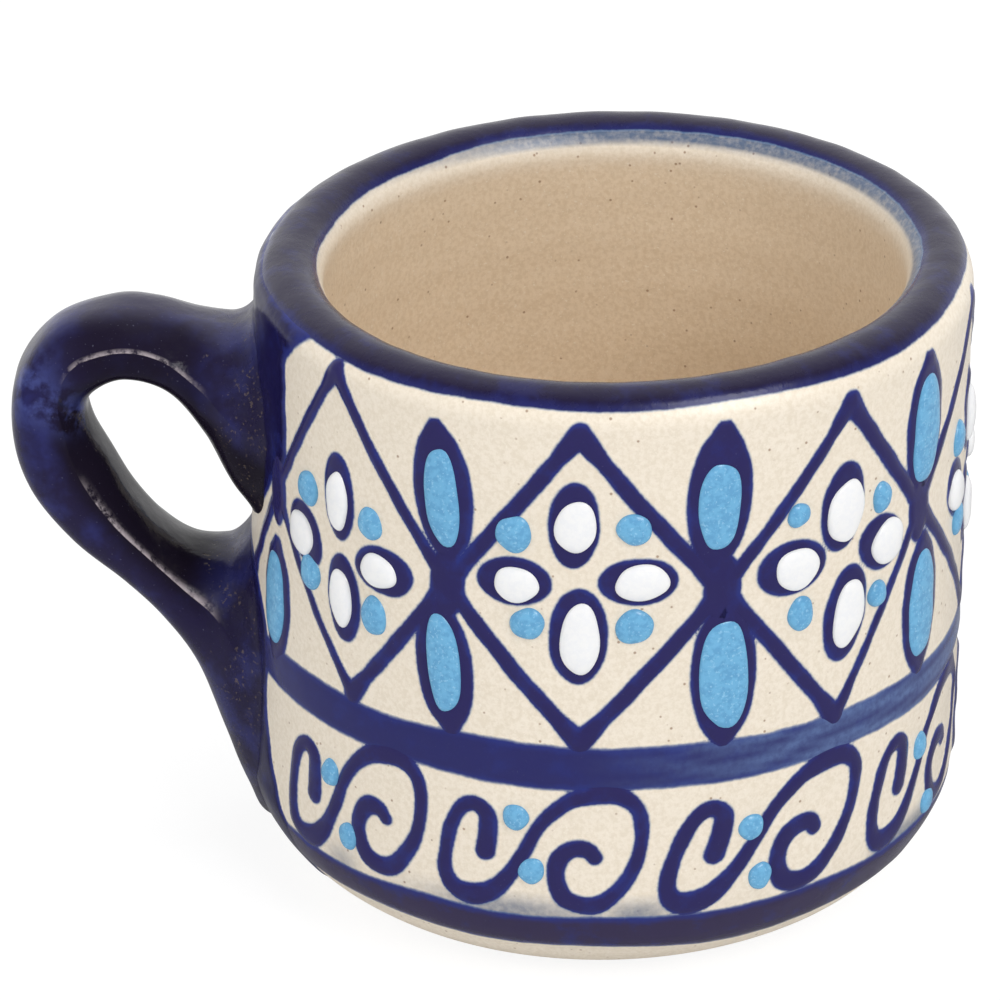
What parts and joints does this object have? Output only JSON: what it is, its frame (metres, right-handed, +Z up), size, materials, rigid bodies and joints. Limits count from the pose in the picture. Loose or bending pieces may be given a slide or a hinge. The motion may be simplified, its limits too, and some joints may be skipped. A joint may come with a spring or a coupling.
{
  "type": "stoneware mug",
  "caption": "Small hand-thrown stoneware mug with a thick rolled lip, a pulled loop handle, cobalt slip bands and raised enamel flowers, leaves and scrolls.",
  "frame": {"origin": "centre of the flat foot, on the surface that the mug stands on", "axes": "+Z up along the cup's axis, handle along -X"},
  "size_m": [0.1093, 0.0827, 0.0754],
  "materials": {
    "clay": "speckled beige stoneware under a thin clear glaze, bare and matt at the foot",
    "cobalt_handle": "glossy deep cobalt glaze with a worn grey sheen",
    "cobalt_band": "brushed cobalt slip under glaze, soft at the edges",
    "cobalt_trail": "trailed cobalt slip under glaze, raised",
    "white_enamel": "glossy raised white enamel",
    "sky_enamel": "mottled sky-blue enamel, raised"
  },
  "bodies": {
    "root": {"cup_body": "clay", "handle": "cobalt_handle", "rim_band": "cobalt_band", "waist_band": "cobalt_band", "foot_band": "cobalt_band", "diamond_lines": "cobalt_trail", "petal_rims": "cobalt_trail", "leaf_rims": "cobalt_trail", "white_petals": "white_enamel", "blue_leaves": "sky_enamel", "blue_dots": "sky_enamel", "scrolls": "cobalt_trail", "scroll_dots": "sky_enamel"}
  },
  "joints": []
}
